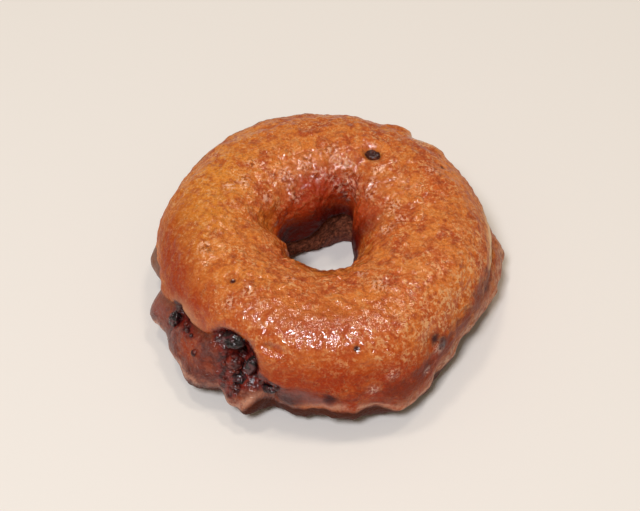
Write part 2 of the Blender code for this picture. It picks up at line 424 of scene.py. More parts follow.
# The skirt is browned on the side of the tear
SKIRT_BROWNING = 0.2
SKIRT_BROWNING_SWELLS = ((210, 34, 1.0), (240, 12, 0.3), (258, 9, 0.4))
SKIRT_START = 4.0
SKIRT_SPAN = 12.0
SKIRT_WANDER = 5.0

# The outer side ends where the cosine of the tube angle falls to this
UNDERCUT = -0.2

# Pale lines and bands: swells round the ring, and where each lies on the section
LIP_SWELLS = ((0, 16, 1.0), (50, 8, 0.6), (212, 9, 0.3))
LIP_ABOVE_CLEFT = 10.0
LIP_WIDTH = 8.0
FOOT_SWELLS = ((242, 5, 0.25), (285, 16, 0.3), (325, 26, 0.7), (5, 12, 0.5), (187, 4, 0.5))
FOOT_START = 4.0
FOOT_SPAN = 14.0
FOOT_WANDER = 4.0
RIM_PALENESS = 0.1
RIM_SWELLS = ((197, 8, 0.7), (216, 12, 1.0), (241, 6, 0.9), (282, 16, 0.8), (303, 8, 0.7))
RIM_ABOVE_BASE = 3.0
RIM_WIDTH = 2.4
# Painted shade along the cleft: stronger where the cleft is deeper, and how tightly it keeps to the cleft
CLEFT_DARKNESS = 0.2
CLEFT_SHARPNESS = 4.0

# Below this tube angle the crust is painted dark where it turns under to the table: the fried underside,
# with painted shade and shadow laid over it
BASE_TUBE = -20.0
BASE_SWELLS = (
    (239, 3, -5),
    (276, 12, 5),
    (247, 3, 6),
    (252, 2, -10),
    (330, 30, -8),
    (0, 30, -10),
    (190, 14, -10),
    (210, 10, -4),
)
BASE_SPAN = 2.5
BASE_WANDER = 3.0
NO_BASE = -90.0

# Except on the right, the outer side is painted browner and darker below a line that climbs towards the
# back: painted shade on the lower crust
LOWER_TUBE = -30.0
LOWER_CLIMB = 72.0
LOWER_TURN = 0.15
LOWER_SPAN = 7.0
LOWER_WANDER = 3.0
LOWER_SIDE = 200.0
LOWER_SIDE_REACH = 130.0
LOWER_SIDE_BLEND = 30.0

# Below this tube angle the glaze is dull, apart from the wet tear, the bubbles and the skirt
HAZE_TUBE = 50.0
HAZE_SWELLS = ((90, 60, 26), (165, 34, 18), (205, 26, 14), (275, 40, 14), (340, 34, 16), (20, 34, 14))
HAZE_SPAN = 38.0
HAZE_STRENGTH = 0.88
WET_CLEARING = 0.9
SKIRT_CLEARING = 0.4

# Ovals on the crust: azimuth, tube angle, half-size round the ring, half-size round the section, strength
TEARS = (
    (238.5, 15, 5.4, 7.5, 1.0),
    (234, 33, 5.5, 3.6, 1.0),
    (236.5, -5, 3.8, 4.5, 0.9),
    (246.5, 5, 3.4, 3.2, 0.8),
    (251, 3.5, 2.8, 2.2, 0.9),
    (206, 4, 2.6, 4.2, 0.9),
    (213, 8, 4.0, 1.6, 0.7),
)
# Dark juice stains; the first, along the crease above the tear, is partly painted shadow
STAINS_AND_SHADE = (
    (250, 49, 4.2, 1.2, 0.45),
    (311, 31, 2.4, 2.6, 0.7),
    (313.5, 21, 2.2, 2.6, 0.7),
    (305, 6, 3.4, 2.4, 0.45),
    (257, -11, 6.0, 3.2, 0.7),
    (271, -2, 2.0, 2.2, 0.8),
    (257, 5, 1.6, 1.2, 0.6),
    (281, 52, 0.9, 0.9, 1.0),
    (62, 97, 2.4, 1.7, 0.9),
    (219, 83, 0.9, 0.9, 1.0),
    (32, 62, 0.7, 0.7, 0.8),
    (74, 150, 2.2, 3.4, 0.5),
    (347, 4, 1.4, 3.4, 0.6),
    (221, -1, 1.2, 1.2, 0.4),
    (208, -14, 4.0, 1.4, 0.5),
)
BROWNED = (
    (294, 1, 6.0, 4.4, 1.0),
    (303, 6, 7.0, 4.4, 1.0),
    (315, 10, 6.0, 4.6, 1.0),
    (327, 13, 6.0, 4.6, 1.0),
    (338, 17, 6.0, 5.0, 1.0),
    (347, 12, 5.0, 5.0, 1.0),
    (268, -2, 9.0, 3.0, 0.8),
    (288, -10, 7.0, 3.0, 0.7),
    (280, 2, 13.0, 5.0, 0.5),
)
PURPLES = (
    (258, -5, 8.0, 3.2, 0.9),
    (266, -8, 7.0, 2.4, 0.8),
    (346, 2, 2.0, 3.4, 0.7),
    (208, -12, 5.0, 3.0, 0.6),
    (196, -6, 5.0, 5.0, 0.8),
)
WINDOWS = ((219, -1, 3.4, 3.6, 0.6), (264, -18, 5.0, 2.2, 0.8))
OVAL_EDGE = 2.0
TEAR_EDGE = 4.0

# Patches where the glaze set full of bubbles, with painted glints and shade on them: azimuth, tube angle,
# half-size
BUBBLE_EDGE = 3.0
BUBBLES = (
    (155, 91, 1.5),
    (147, 99, 1.6),
    (135, 91, 1.3),
    (147, 125, 1.4),
    (123, 121, 2.2),
    (122, 141, 1.5),
    (104, 115, 1.8),
    (97, 127, 1.6),
    (87, 103, 1.8),
    (76, 117, 1.8),
    (69, 130, 2.4),
    (73, 149, 1.3),
    (49, 123, 1.5),
    (53, 111, 1.4),
    (44, 132, 1.5),
    (19, 123, 2.0),
    (356, 132, 1.7),
    (4, 120, 1.4),
    (196, 77, 1.8),
    (230, 85, 1.6),
    (244, 115, 1.2),
    (299, 123, 1.4),
    (302, 102, 2.0),
    (238, 82, 1.3),
    (227, 66, 1.4),
    (312, 20, 1.6),
    (31, 77, 1.3),
    (285, 9, 1.3),
    (292, 22, 1.3),
    (305, 3, 1.0),
    (79, 139, 1.6),
    (62, 142, 1.5),
    (86, 129, 1.5),
)


def fade(azimuth, tube, middle, level, around, across):
    """1 at a place on the crust, fading out evenly past its half-widths."""
    return np.exp(-((turn_to(azimuth, middle) / around) ** 2) - ((turn_to(tube, level) / across) ** 2))


def ovals_share(ovals, azimuth, tube, radius, edge=OVAL_EDGE):
    """The strength in the middle of any of these ovals, fading out past their half-sizes."""
    total = np.zeros_like(azimuth)
    for middle, level, length, width, amount in ovals:
        off = oval_distance(azimuth, tube, radius, middle, level, length, width)
        total = np.maximum(total, amount * np.exp(-(off**edge)))
    return total


def bubbly_share(azimuth, tube, radius):
    """1 in the middle of each patch of bubbled glaze."""
    patches = [(middle, level, size, size, 1.0) for middle, level, size in BUBBLES]
    return ovals_share(patches, azimuth, tube, radius, BUBBLE_EDGE)


def tear_share(azimuth, tube, radius):
    """1 in the tear's wet crumb and in the hollows round the berries."""
    return ovals_share(TEARS, azimuth, tube, radius, TEAR_EDGE)


def swelling_share(azimuth, base, swells):
    """An outline of swells, kept between 0 and 1."""
    return np.clip(outline(azimuth, base, swells), 0, 1)


def blisters(points, spacing, seed):
    """Round raised blisters about this far apart, 1 at their tops."""
    shift = Vector(seed)
    found = [noise.voronoi(Vector(point) / spacing + shift)[0][0] for point in points.reshape(-1, 3)]
    off = np.array(found).reshape(points.shape[:-1])
    return 1.0 - smooth_step(off / BLISTER_REACH)


def summed_waves(points, parts):
    """Waves added up, each with its wavelength, height and seed."""
    return sum(height * waves(points, wavelength, seed) for wavelength, height, seed in parts)


def blister_relief(azimuth, tube, points, radius, calm):
    """Blisters, tallest at the rim of the hole, at its back and in the bubbled patches."""
    patchy = smooth_step(0.5 + PATCH_CONTRAST * waves(points, PATCH_SPACING, PATCH_SEED))
    at_rim = np.exp(-((turn_to(tube, BLISTER_RIM_TUBE) / BLISTER_RIM_SPREAD) ** 2))
    height = (BLISTER_HEIGHT + BLISTER_PATCH_HEIGHT * patchy) * (1.0 - CALMING * calm)
    height += BLISTER_RIM_HEIGHT * at_rim * patchy
    total = blisters(points, BLISTER_SPACING, BLISTER_SEED) * height
    round_hole = round_ring(azimuth, STREAK_RADIUS, STREAK_STRETCH * turn_to(tube, 90.0))
    streaks = blisters(round_hole, STREAK_SPACING, STREAK_SEED)
    total += STREAK_HEIGHT * fade(azimuth, tube, *INNER_BACK_PLACE) * streaks
    bubbles = blisters(points, BUBBLE_SPACING, BUBBLE_SEED)
    return total + BUBBLE_HEIGHT * bubbly_share(azimuth, tube, radius) * bubbles


def skin_relief(azimuth, tube, points, calm):
    """Small waves of the crust, and fine wrinkles that run down the skirt."""
    skin = summed_waves(points, SKIN_WAVES) * (1.0 - CALMING * calm)
    on_skirt = smooth_step((cleft_tube(azimuth) - WRINKLE_START - turn_to(tube, 0.0)) / WRINKLE_BLEND)
    on_skirt *= np.cos(np.radians(tube)) > 0
    round_rim = round_ring(azimuth, SKIRT_RADIUS, WRINKLE_STRETCH * turn_to(tube, 0.0))
    return skin + WRINKLE_HEIGHT * on_skirt * waves(round_rim, WRINKLE_SPACING, WRINKLE_SEED)


def pinhole_relief(azimuth, tube, radius):
    """Small round pits."""
    total = np.zeros_like(azimuth)
    for middle, level, size in PINHOLES:
        off = oval_distance(azimuth, tube, radius, middle, level, size, size)
        total -= PINHOLE_DEPTH * size * np.exp(-(off**2))
    return total


def fine_relief(azimuth, tube, points, radius):
    """Blisters and wrinkles on the crust, rough crumb where it is bare, and pinholes."""
    calm = fade(azimuth, tube, *CALM_PLACE)
    rough = np.maximum(wall_share(azimuth, tube), tear_share(azimuth, tube, radius))
    crust = blister_relief(azimuth, tube, points, radius, calm) * (1.0 - rough)
    crumb = summed_waves(points, CRUMB_WAVES) * rough
    skin = skin_relief(azimuth, tube, points, calm)
    return crust + skin + crumb + pinhole_relief(azimuth, tube, radius)


def crust_grid():
    """The azimuth and tube angle of each corner of the fine crust. One row runs along the cleft."""
    azimuths = np.arange(ROWS_ROUND_HOLE) * 360.0 / ROWS_ROUND_HOLE
    turns = np.arange(ROWS_ROUND_SECTION) * 360.0 / ROWS_ROUND_SECTION
    azimuth, turn = np.meshgrid(azimuths, turns, indexing="ij")
    crowded = turn - ROW_CROWDING * np.sin(np.radians(turn - DENSEST_TUBE))
    near_cleft = 0.5 + 0.5 * np.cos(np.radians(crowded))
    return azimuth, crowded + cleft_tube(azimuth) * near_cleft


def grid_faces(across, around):
    """The quads of a grid that closes on itself both ways."""
    i, j = np.meshgrid(np.arange(across), np.arange(around), indexing="ij")
    i_next = (i + 1) % across
    j_next = (j + 1) % around
    corners = (i * around + j, i_next * around + j, i_next * around + j_next, i * around + j_next)
    return np.stack(corners, axis=-1).reshape(-1, 4)


def hole_shares(azimuth, tube, wander):
    """Shares of the reds, the bare crumb and the painted shadow under the crust's edge inside the hole."""
    inwards = tube % 360.0
    in_hole = inwards < UNDERSIDE_TUBE
    warm_red = inwards - outline(azimuth, WARM_RED_TUBE, WARM_RED_SWELLS) + WARM_RED_WANDER * wander
    deep_red = inwards - outline(azimuth, DEEP_RED_TUBE, DEEP_RED_SWELLS) + DEEP_RED_WANDER * wander
    below_edge = turn_to(tube, outline(azimuth, OVERHANG_TUBE, OVERHANG_SWELLS))
    return {
        "warm_red": smooth_step(warm_red / WARM_RED_SPAN) * in_hole,
        "hole_depth": smooth_step(deep_red / DEEP_RED_SPAN) * in_hole,
        "bare": smooth_step((inwards - BARE_TUBE) / BARE_SPAN) * in_hole,
        "wall": wall_share(azimuth, tube),
        "gap_shadow": np.exp(-(((below_edge - GAP_BELOW_EDGE) / GAP_WIDTH) ** 2)),
    }


def outer_side(tube):
    """True on the outer side, to a little past the top and the underside."""
    return np.cos(np.radians(tube)) > UNDERCUT


def brown_skirt(azimuth, tube, wander):
    """1 on the browned skirt below the cleft, on the outer side of the ring."""
    below_cleft = turn_to(tube, cleft_tube(azimuth)) + SKIRT_WANDER * wander
    skirt = np.where(outer_side(tube), smooth_step((SKIRT_START - below_cleft) / SKIRT_SPAN), 0.0)
    return skirt * swelling_share(azimuth, SKIRT_BROWNING, SKIRT_BROWNING_SWELLS)


def edge_shares(azimuth, tube, wander):
    """Shares of the pale and dark bands that run round the outer edge."""
    level = turn_to(tube, 0.0)
    outer = outer_side(tube)
    base = outline(azimuth, BASE_TUBE, BASE_SWELLS) + BASE_WANDER * wander - level
    base = np.where(outer, base, NO_BASE)
    off_rim = (base + RIM_ABOVE_BASE) / RIM_WIDTH
    foot = smooth_step((FOOT_START - level - FOOT_WANDER * wander) / FOOT_SPAN)
    off_lip = turn_to(tube, cleft_tube(azimuth) + LIP_ABOVE_CLEFT) / LIP_WIDTH
    towards_back = np.clip(np.sin(np.radians(azimuth)) + LOWER_TURN, 0.0, 1.0)
    far_side = LOWER_TUBE + LOWER_CLIMB * towards_back**0.5
    lower = smooth_step((far_side + LOWER_WANDER * wander - level) / LOWER_SPAN)
    on_side = smooth_step((LOWER_SIDE_REACH - np.abs(turn_to(azimuth, LOWER_SIDE))) / LOWER_SIDE_BLEND)
    # painted shade in the cleft
    cleft = cleft_share(azimuth, tube) ** CLEFT_SHARPNESS
    return {
        # the base: fried underside with painted shade and shadow
        "base": smooth_step(base / BASE_SPAN),
        "rim": np.exp(-(off_rim**2)) * swelling_share(azimuth, RIM_PALENESS, RIM_SWELLS),
        "cleft": cleft * swelling_share(azimuth, CLEFT_DARKNESS, CLEFT_DEPTH_SWELLS),
        "lip": np.exp(-(off_lip**2)) * swelling_share(azimuth, 0, LIP_SWELLS),
        # painted shade on the lower outer side
        "lower": np.where(outer, lower, 0.0) * on_side,
        "foot": np.where(outer, foot, 0.0) * swelling_share(azimuth, 0, FOOT_SWELLS),
    }


def colour_shares(azimuth, tube, points, radius):
    """Shares from 0 to 1 that the crust's material reads, by name."""
    wander = waves(points, WANDER_SPACING, WANDER_SEED)
    tear = tear_share(azimuth, tube, radius)
    bubbly = bubbly_share(azimuth, tube, radius)
    skirt = brown_skirt(azimuth, tube, wander)
    haze = outline(azimuth, HAZE_TUBE, HAZE_SWELLS) - turn_to(tube, 0.0)
    haze = np.where(np.cos(np.radians(tube)) > 0, HAZE_STRENGTH * smooth_step(haze / HAZE_SPAN), 0.0)
    clearing = np.maximum(WET_CLEARING * np.maximum(tear, bubbly), SKIRT_CLEARING * skirt)
    rust = sum(amount * fade(azimuth, tube, *where) for *where, amount in RUST_PLACES)
    shares = {
        "tear": tear,
        "bubbly": bubbly,
        "skirt": skirt * (1.0 - ovals_share(WINDOWS, azimuth, tube, radius)),
        "haze": haze * (1.0 - clearing),
        "gold": np.clip(fade(azimuth, tube, *GOLD_PLACE) + GOLD_WANDER * wander, 0, 1),
        "rust": np.clip(rust + RUST_WANDER * wander, 0, 1),
        "inner": fade(azimuth, tube, *INNER_SHINE_PLACE),
        "sugared": fade(azimuth, tube, *SUGARED_PLACE),
        "browned": ovals_share(BROWNED, azimuth, tube, radius),
        "purple": ovals_share(PURPLES, azimuth, tube, radius),
        "stain_and_shade": ovals_share(STAINS_AND_SHADE, azimuth, tube, radius),
    }
    return shares | hole_shares(azimuth, tube, wander) | edge_shares(azimuth, tube, wander)


# Colours, as screen values from 0 to 255
COLOURS = {
    "dough": (217, 119, 43),
    "dark dough": (201, 93, 28),
    "gold": (222, 136, 36),
    "rust": (150, 37, 2),
    "dark blotch": (168, 52, 12),
    "pale blotch": (216, 130, 62),
    "dark patch": (160, 54, 16),
    "dark hollow": (120, 42, 12),
    "warm red": (166, 42, 10),
    "deep red": (92, 18, 8),
    "pale mottle": (228, 156, 92),
    "dark mottle": (140, 46, 14),
    "dried sugar": (222, 166, 114),
    "dark speck": (128, 50, 14),
    "pale speck": (244, 190, 122),
    "pale fleck": (242, 186, 128),
    "skirt": (126, 50, 28),
    "dark skirt": (100, 42, 34),
    "pale skirt mottle": (148, 76, 54),
    "dark skirt mottle": (70, 24, 24),
    "skirt fleck": (180, 110, 80),
    "lip": (250, 212, 166),
    "foot": (150, 98, 76),
    "pale foot": (206, 164, 136),
    # painted shade on the lower outer side
    "shaded lower side": (118, 70, 40),
    "browned": (118, 38, 14),
    "purple": (140, 82, 74),
    "rim": (206, 146, 118),
    # fried underside, darkened further with painted shade and shadow
    "base": (74, 30, 16),
    # painted shade in the cleft
    "cleft": (50, 14, 10),
    "crumb": (90, 44, 30),
    "pale crumb": (150, 86, 62),
    # painted shadow under the crust's edge in the hole
    "gap_shadow": (18, 6, 5),
    # painted glints on the bubbles, and painted shade between them
    "painted_glint": (232, 184, 158),
    "shade between bubbles": (96, 34, 20),
    # juice stains, one of them partly a painted shadow in a crease
    "stain_and_shade": (60, 16, 18),
    "juice": (60, 10, 12),
    "red juice": (116, 30, 20),
    "berry": (16, 6, 10),
    "berry flesh": (84, 28, 34),
    "burst berry": (64, 14, 12),
    "burst flesh": (124, 40, 26),
    "dry berry": (56, 24, 22),
    "dry flesh": (116, 60, 42),
    "bead": (56, 16, 16),
    "pale bead": (124, 48, 34),
    "floor": (236, 231, 226),
}

# Noise in the crust's colours and relief: wavelength, detail, roughness
BROAD_NOISE = (7.0, 2.0, 0.5)
BLOTCH_NOISE = (4.2, 1.0, 0.5)
BLOTCH_DISTORTION = 0.6
PATCH_NOISE = (2.6, 3.0, 0.6)
RIPPLE_NOISE = (2.2, 1.0, 0.5)
MOTTLE_NOISE = (1.5, 1.0, 0.5)
FLECK_NOISE = (0.8, 2.0, 0.6)
SPECK_NOISE = (0.5, 1.0, 0.5)
GRAIN_NOISE = (0.35, 1.0, 0.5)
BUBBLE_CELLS = 1.3
SPECK_CELLS = 0.85

# Noise in the berries' skin: wavelength, detail, roughness, distortion
BERRY_CLOUDS = (1.8, 2.0, 0.5, 0.5)
BERRY_RIPPLES = (1.1, 1.0, 0.5)
BERRY_BUMP = 0.15

# How the glaze shines: bump depths in millimetres, and the shader's own values
CRUST_BUMP = 0.4
GLAZE_BUMP = 0.42
GLAZE_ROUGHNESS = 0.08
GLAZE_IOR = 1.6
CRUST_IOR = 1.4
CRUST_SPECULAR = 0.1
CRUST_SUBSURFACE = 0.1
SUBSURFACE_RADIUS = (1.0, 0.35, 0.15)
SUBSURFACE_SCALE = 1.2


def paint(name):
    """A named colour, as the shader takes it."""
    return tuple(((value / 255.0 + 0.055) / 1.055) ** 2.4 for value in COLOURS[name]) + (1.0,)


class Nodes:
    """A material's node tree, with short calls to add to it."""

    def __init__(self, name):
        self.material = bpy.data.materials.new(name)
        self.material.use_nodes = True
        self.tree = self.material.node_tree
        self.shader = self.tree.nodes["Principled BSDF"]
        where = self.add("ShaderNodeTexCoord").outputs["Object"]
        scale = self.add("ShaderNodeVectorMath", operation="SCALE")
        self.tree.links.new(where, scale.inputs[0])
        scale.inputs["Scale"].default_value = 1.0 / MM
        self.millimetres = scale.outputs[0]

    def add(self, kind, **settings):
        node = self.tree.nodes.new(kind)
        for key, value in settings.items():
            setattr(node, key, value)
        return node

    def join(self, value, socket):
        """Links an output, or sets a constant."""
        if isinstance(value, bpy.types.NodeSocket):
            self.tree.links.new(value, socket)
        else:
            socket.default_value = value

    def set(self, **values):
        """Sets or links the shader's inputs. An underscore stands for a space in an input's name."""
        for name, value in values.items():
            self.join(value, self.shader.inputs[name.replace("_", " ")])

    def share(self, name):
        """A named share that the mesh carries."""
        return self.add("ShaderNodeAttribute", attribute_name=name).outputs["Fac"]

    def noise(self, wavelength, detail, roughness, distortion=0.0):
        node = self.add("ShaderNodeTexNoise")
        self.join(self.millimetres, node.inputs["Vector"])
        node.inputs["Scale"].default_value = 1.0 / wavelength
        node.inputs["Detail"].default_value = detail
        node.inputs["Roughness"].default_value = roughness
        node.inputs["Distortion"].default_value = distortion
        return node.outputs["Fac"]

    def cells(self, size):
        """The distance to the middle of the nearest cell."""
        node = self.add("ShaderNodeTexVoronoi", feature="F1")
        self.join(self.millimetres, node.inputs["Vector"])
        node.inputs["Scale"].default_value = 1.0 / size
        return node.outputs["Distance"]

    def ramp(self, value, low, high):
        """0 where the value is at low and 1 where it is at high, with an even bend between."""
        node = self.add("ShaderNodeMapRange", interpolation_type="SMOOTHSTEP")
        self.join(value, node.inputs["Value"])
        node.inputs["From Min"].default_value = low
        node.inputs["From Max"].default_value = high
        return node.outputs["Result"]

    def math(self, operation, first, second=0.0, clamp=False):
        node = self.add("ShaderNodeMath", operation=operation, use_clamp=clamp)
        self.join(first, node.inputs[0])
        self.join(second, node.inputs[1])
        return node.outputs[0]

    def chain(self, operation, values):
        """One operation over all the values, from left to right."""
        total = values[0]
        for value in values[1:]:
            total = self.math(operation, total, value)
        return total

    def times(self, *values):
        return self.chain("MULTIPLY", values)

    def plus(self, *values):
        return self.chain("ADD", values)

    def most(self, *values):
        return self.chain("MAXIMUM", values)

    def rest(self, value):
        """What the value lacks to 1."""
        return self.math("SUBTRACT", 1.0, value)

    def uneven(self, name, texture, unevenness, low, high):
        """A named share with its edge broken up by a texture."""
        shift = self.times(self.math("SUBTRACT", texture, 0.5), unevenness)
        return self.ramp(self.plus(self.share(name), shift), low, high)

    def mix(self, share, first, second):
        """The first colour, with this share of the second."""
        node = self.add("ShaderNodeMix", data_type="RGBA")
        self.join(share, node.inputs["Factor"])
        self.join(first, node.inputs[6])
        self.join(second, node.inputs[7])
        return node.outputs[2]

    def layer(self, colour, name, *shares):
        """The colour with a named one laid over it, as strong as the shares multiplied."""
        return self.mix(self.times(*shares), colour, paint(name))

    def bump(self, height, depth):
        """A normal that leans with the height, where 1 stands for this depth in millimetres."""
        node = self.add("ShaderNodeBump")
        node.inputs["Distance"].default_value = depth * MM
        self.join(height, node.inputs["Height"])
        return node.outputs["Normal"]


class CrustNodes(Nodes):
    """The crust's node tree, with the textures that its colours and its relief have in common."""

    def __init__(self, name):
        super().__init__(name)
        self.broad = self.noise(*BROAD_NOISE)
        self.blotches = self.noise(*BLOTCH_NOISE, BLOTCH_DISTORTION)
        self.patches = self.noise(*PATCH_NOISE)
        self.ripple = self.noise(*RIPPLE_NOISE)
        self.mottles = self.noise(*MOTTLE_NOISE)
        self.flecks = self.noise(*FLECK_NOISE)
        self.grain = self.noise(*GRAIN_NOISE)
        self.specks = self.ramp(self.cells(SPECK_CELLS), 0.36, 0.12)
        self.red = self.times(self.most(self.share("rust"), self.share("warm_red")), 0.8)
        self.mottled = self.rest(self.times(self.red, 0.75))
        self.bubbles = self.bubble_rings()
        self.pale_flecks = self.fleck_spots()
        self.wet = self.uneven("tear", self.patches, 0.9, 0.15, 0.6)

    def bubble_rings(self):
        """Thin rings round the bubbles that burst, in patches."""
        off_ring = self.math("ABSOLUTE", self.math("SUBTRACT", self.cells(BUBBLE_CELLS), 0.34))
        return self.times(self.ramp(off_ring, 0.1, 0.02), self.ramp(self.patches, 0.5, 0.62))

    def fleck_spots(self):
        """Pale flecks and specks, in patches and away from the reds."""
        either = self.most(self.ramp(self.flecks, 0.52, 0.66), self.specks)
        in_patches = self.times(self.ramp(self.patches, 0.4, 0.6), self.ramp(self.broad, 0.3, 0.6))
        return self.times(either, in_patches, self.rest(self.red))


def dough_colour(n):
    """The fried crust, from gold at the back to rust at the front."""
    colour = n.mix(n.ramp(n.broad, 0.35, 0.65), paint("dough"), paint("dark dough"))
    colour = n.layer(colour, "gold", n.share("gold"), 0.85)
    colour = n.layer(colour, "rust", n.share("rust"), 0.88)
    colour = n.layer(colour, "dark blotch", n.ramp(n.blotches, 0.46, 0.34), 0.6, n.mottled)
    colour = n.layer(colour, "pale blotch", n.ramp(n.blotches, 0.56, 0.7), 0.4, n.mottled)
    return n.layer(colour, "dark patch", n.ramp(n.patches, 0.5, 0.38), 0.45, n.mottled)


def mottled_colour(n, colour):
    """Mottles, specks and flecks of the glaze over the crust."""
    fine = n.times(n.mottled, n.rest(n.times(n.share("gold"), 0.5)))
    specked = n.noise(*SPECK_NOISE)
    colour = n.layer(colour, "dark hollow", n.ramp(n.flecks, 0.46, 0.32), 0.3, fine)
    colour = n.layer(colour, "warm red", n.share("warm_red"), 0.8)
    pale = n.times(n.ramp(n.mottles, 0.5, 0.68), n.ramp(n.flecks, 0.44, 0.58))
    colour = n.layer(colour, "pale mottle", pale, n.rest(n.red), 0.55)
    sugar = n.times(n.ramp(n.mottles, 0.42, 0.6), n.ramp(n.flecks, 0.44, 0.56))
    colour = n.layer(colour, "dried sugar", n.share("sugared"), sugar, n.mottled)
    dark = n.times(n.ramp(n.mottles, 0.44, 0.32), n.ramp(n.blotches, 0.6, 0.45))
    colour = n.layer(colour, "dark mottle", dark, 0.5, fine)
    colour = n.layer(colour, "dark speck", n.ramp(specked, 0.46, 0.34), 0.14)
    colour = n.layer(colour, "pale speck", n.ramp(specked, 0.54, 0.66), 0.14, n.mottled)
    light = n.most(n.pale_flecks, n.times(n.bubbles, 0.3))
    colour = n.layer(colour, "pale fleck", light, 0.6)
    return n.layer(colour, "deep red", n.ramp(n.share("hole_depth"), 0.05, 0.8))


def skirt_colour(n, colour):
    """The browned skirt and its pale foot, under the dome's pale lip."""
    skirt = n.math("MULTIPLY", n.share("skirt"), n.plus(0.75, n.times(n.patches, 0.6)), clamp=True)
    brown = n.mix(n.ramp(n.broad, 0.4, 0.6), paint("skirt"), paint("dark skirt"))
    brown = n.layer(brown, "pale skirt mottle", n.ramp(n.mottles, 0.54, 0.66), 0.5)
    brown = n.layer(brown, "dark skirt mottle", n.ramp(n.mottles, 0.46, 0.34), 0.5)
    colour = n.mix(skirt, colour, n.layer(brown, "skirt fleck", n.pale_flecks, 0.3))
    colour = n.layer(colour, "lip", n.share("lip"), n.ramp(n.patches, 0.2, 0.38))
    foot = n.mix(n.ramp(n.mottles, 0.42, 0.6), paint("foot"), paint("pale foot"))
    return n.mix(n.times(n.share("foot"), n.ramp(n.patches, 0.36, 0.5)), colour, foot)


def edge_colour(n, colour):
    """The browned and purple bands of the outer edge, painted shade low on the side and in the cleft, and
    the dark base of fried crust under painted shade.
    """
    # Painted shade on the lower outer side
    colour = n.layer(colour, "shaded lower side", n.share("lower"), 0.75)
    colour = n.layer(colour, "browned", n.uneven("browned", n.mottles, 1.4, 0.2, 0.9), 0.85)
    colour = n.layer(colour, "purple", n.uneven("purple", n.patches, 0.8, 0.2, 0.9), 0.8)
    colour = n.layer(colour, "rim", n.share("rim"), n.ramp(n.patches, 0.3, 0.5))
    # The dark base: fried underside with painted shade and shadow
    colour = n.layer(colour, "base", n.share("base"), 0.97)
    # Painted shade in the cleft
    return n.layer(colour, "cleft", n.share("cleft"), 0.6)


def crumb_colour(n, colour):
    """The crumb wall, painted shadow under the crust's edge, painted glints and shade in the bubbled
    patches, the stains with painted shade in a crease, and the juice in the tear.
    """
    crumb = n.mix(n.ramp(n.flecks, 0.3, 0.7), paint("crumb"), paint("pale crumb"))
    colour = n.mix(n.share("wall"), colour, crumb)
    # Painted shadow under the crust's edge
    colour = n.layer(colour, "gap_shadow", n.share("gap_shadow"), n.ramp(n.patches, 0.62, 0.4), 0.9)
    # Painted glints on the bubbles' tops and painted shade in the hollows between them
    colour = n.layer(colour, "painted_glint", n.share("bubbly"), n.ramp(n.flecks, 0.48, 0.58), 0.6)
    colour = n.layer(colour, "shade between bubbles", n.share("bubbly"), n.ramp(n.flecks, 0.46, 0.38), 0.6)
    # Juice stains, one of them partly a painted shadow in a crease
    colour = n.layer(colour, "stain_and_shade", n.uneven("stain_and_shade", n.patches, 0.6, 0.2, 0.8))
    juice = n.mix(n.ramp(n.mottles, 0.34, 0.66), paint("juice"), paint("red juice"))
    return n.mix(n.wet, colour, juice)


def crust_coat(n):
    """The clear glaze: rippled, and worn off where the crust is bare, dark or dull."""
    ripples = n.plus(n.times(n.ripple, 0.7), n.times(n.flecks, 0.38), n.times(n.specks, 0.14))
    boost = n.plus(1.0, n.times(n.share("inner"), 0.5), n.times(n.share("skirt"), 1.6))
    bare = n.most(n.share("wall"), n.times(n.share("bare"), 0.9))
    dull = n.most(bare, n.share("base"), n.times(n.share("foot"), 0.5), n.share("haze"))
    n.set(
        Coat_Weight=n.rest(dull),
        Coat_Normal=n.bump(n.times(ripples, boost), GLAZE_BUMP),
        Coat_Roughness=GLAZE_ROUGHNESS,
        Coat_IOR=GLAZE_IOR,
    )


def crust_material():
    """Fried crust under a clear sugar glaze, with the crumb and the berry juice that show."""
    n = CrustNodes("glazed_crust")
    colour = mottled_colour(n, dough_colour(n))
    colour = edge_colour(n, skirt_colour(n, colour))
    skin = n.plus(n.flecks, n.times(n.grain, 0.3), n.times(n.bubbles, 0.3), n.times(n.ripple, 0.8))
    n.set(
        Base_Color=crumb_colour(n, colour),
        Roughness=n.plus(0.45, n.times(n.grain, 0.2), n.times(n.share("wall"), 0.4), n.times(n.wet, -0.2)),
        Normal=n.bump(skin, CRUST_BUMP),
        IOR=CRUST_IOR,
        Specular_IOR_Level=CRUST_SPECULAR,
        Subsurface_Weight=CRUST_SUBSURFACE,
        Subsurface_Radius=SUBSURFACE_RADIUS,
        Subsurface_Scale=SUBSURFACE_SCALE * MM,
    )
    crust_coat(n)
    return n.material


def berry_material(name, skin, flesh):
    """Wet berry skin: dark, with torn lighter flesh."""
    n = Nodes(name)
    clouds = n.noise(*BERRY_CLOUDS)
    n.set(
        Base_Color=n.mix(n.ramp(clouds, 0.45, 0.7), paint(skin), paint(flesh)),
        Roughness=0.5,
        Specular_IOR_Level=0.1,
        Coat_Normal=n.bump(n.noise(*BERRY_RIPPLES), BERRY_BUMP),
        Coat_Weight=0.7,
        Coat_Roughness=0.12,
    )
    return n.material


def add_object(name, mesh, finish):
    """A piece that rides with the part."""
    mesh.materials.append(finish)
    piece = bpy.data.objects.new(name, mesh)
    bpy.context.scene.collection.objects.link(piece)
    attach(piece, "root")
    return piece


